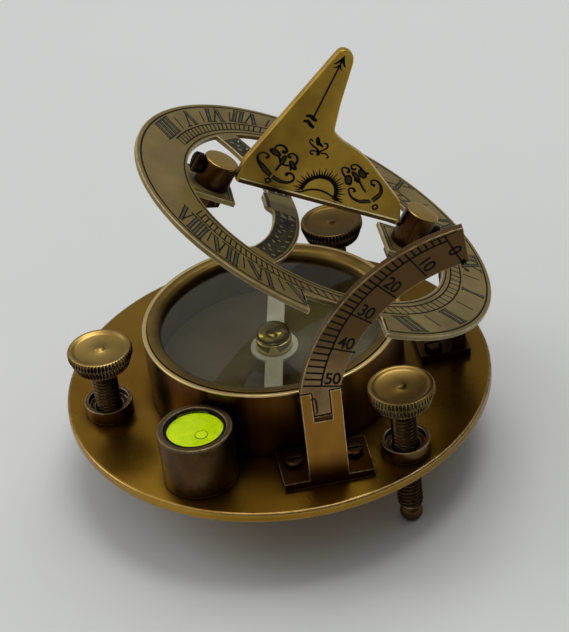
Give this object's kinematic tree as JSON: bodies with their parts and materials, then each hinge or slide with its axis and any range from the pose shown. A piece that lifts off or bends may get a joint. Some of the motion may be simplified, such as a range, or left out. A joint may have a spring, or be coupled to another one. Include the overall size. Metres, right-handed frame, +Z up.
{
  "type": "sundial compass",
  "caption": "Brass desk sundial compass: a hinged hour ring with a folding gnomon and a latitude arc over a glazed compass on a levelling base.",
  "frame": {"origin": "on the floor under the middle of the round base plate", "axes": "+Z up, +X towards the noon end where the hour ring is hinged, -Y towards the latitude arc"},
  "size_m": [0.103, 0.102, 0.1055],
  "materials": {
    "aged_brass": "satin",
    "dark_brass": "satin",
    "ring_brass": "satin",
    "polished_brass": "polished",
    "needle_steel": "satin",
    "dial_face": "matte",
    "clear_glass": "polished",
    "level_liquid": "gloss"
  },
  "bodies": {
    "base": {"base_plate": "aged_brass", "compass_drum": "aged_brass", "bezel_ring": "aged_brass", "compass_glass": "clear_glass", "compass_dial": "dial_face", "pivot_pin": "dark_brass", "drum_screw_1": "dark_brass", "drum_screw_2": "dark_brass", "drum_screw_3": "dark_brass", "cup_screw": "dark_brass", "level_boss_morning": "aged_brass", "level_boss_near": "aged_brass", "level_boss_far": "aged_brass", "level_cup": "dark_brass", "level_vial": "clear_glass", "level_liquid": "level_liquid", "arc_bracket": "aged_brass", "arc_pin": "dark_brass", "arc_bracket_screw_1": "dark_brass", "arc_bracket_screw_2": "dark_brass", "ring_hinge_bracket": "aged_brass", "hinge_screw_1": "dark_brass", "hinge_screw_2": "dark_brass", "ring_hinge_pin": "dark_brass"},
    "needle": {"compass_needle": "needle_steel", "needle_cap": "polished_brass"},
    "latitude_arc": {"latitude_arc": "ring_brass"},
    "hour_ring": {"hour_ring": "ring_brass", "ring_hinge_leaf": "aged_brass", "leaf_rivet_1": "dark_brass", "leaf_rivet_2": "dark_brass", "gnomon_post_morning": "dark_brass", "gnomon_post_noon": "dark_brass", "post_nut_morning": "dark_brass", "post_nut_noon": "dark_brass", "gnomon_pivot_morning": "dark_brass", "gnomon_pivot_noon": "dark_brass"},
    "gnomon": {"gnomon": "polished_brass"},
    "foot_morning": {"foot_tip_morning": "aged_brass"},
    "foot_near": {"foot_tip_near": "aged_brass"},
    "foot_far": {"foot_tip_far": "aged_brass"},
    "screw_morning": {"levelling_screw_morning": "aged_brass", "thumb_knob_morning": "aged_brass"},
    "screw_near": {"levelling_screw_near": "aged_brass", "thumb_knob_near": "aged_brass"},
    "screw_far": {"levelling_screw_far": "aged_brass", "thumb_knob_far": "aged_brass"}
  },
  "joints": [
    {"name": "ring_tilt", "type": "hinge", "parent": "base", "child": "hour_ring", "pos_m": [0.0434, 0, 0.0389], "axis": [0, 1, 0], "range_deg": [-30.4, 59]},
    {"name": "gnomon_fold", "type": "hinge", "parent": "hour_ring", "child": "gnomon", "pos_m": [0.01537, 0, 0.06719], "axis": [0.8623, 0, -0.5063], "range_deg": [-90, 90]},
    {"name": "arc_fold", "type": "hinge", "parent": "base", "child": "latitude_arc", "pos_m": [0.00454, -0.04245, 0.0446], "axis": [1, 0, 0], "range_deg": [-8, 90]},
    {"name": "needle_spin", "type": "hinge", "parent": "base", "child": "needle", "pos_m": [0, 0, 0.03], "axis": [0, 0, 1], "continuous": true},
    {"name": "foot_rise_morning", "type": "slide", "parent": "base", "child": "foot_morning", "axis": [0, 0, 1], "range_m": [-0.008, 0.004]},
    {"name": "screw_turn_morning", "type": "hinge", "parent": "foot_morning", "child": "screw_morning", "pos_m": [-0.041, -0.002, 0.02], "axis": [0, 0, 1], "range_deg": [-2880, 1440]},
    {"name": "foot_rise_near", "type": "slide", "parent": "base", "child": "foot_near", "axis": [0, 0, 1], "range_m": [-0.008, 0.004]},
    {"name": "screw_turn_near", "type": "hinge", "parent": "foot_near", "child": "screw_near", "pos_m": [0.02344, -0.03644, 0.02], "axis": [0, 0, 1], "range_deg": [-2880, 1440]},
    {"name": "foot_rise_far", "type": "slide", "parent": "base", "child": "foot_far", "axis": [0, 0, 1], "range_m": [-0.008, 0.004]},
    {"name": "screw_turn_far", "type": "hinge", "parent": "foot_far", "child": "screw_far", "pos_m": [0.02105, 0.03381, 0.02], "axis": [0, 0, 1], "range_deg": [-2880, 1440]}
  ],
  "couplings": [
    {"joint": "foot_rise_morning", "follows": "screw_turn_morning", "m_per_rad": 0.00015915},
    {"joint": "foot_rise_near", "follows": "screw_turn_near", "m_per_rad": 0.00015915},
    {"joint": "foot_rise_far", "follows": "screw_turn_far", "m_per_rad": 0.00015915}
  ]
}
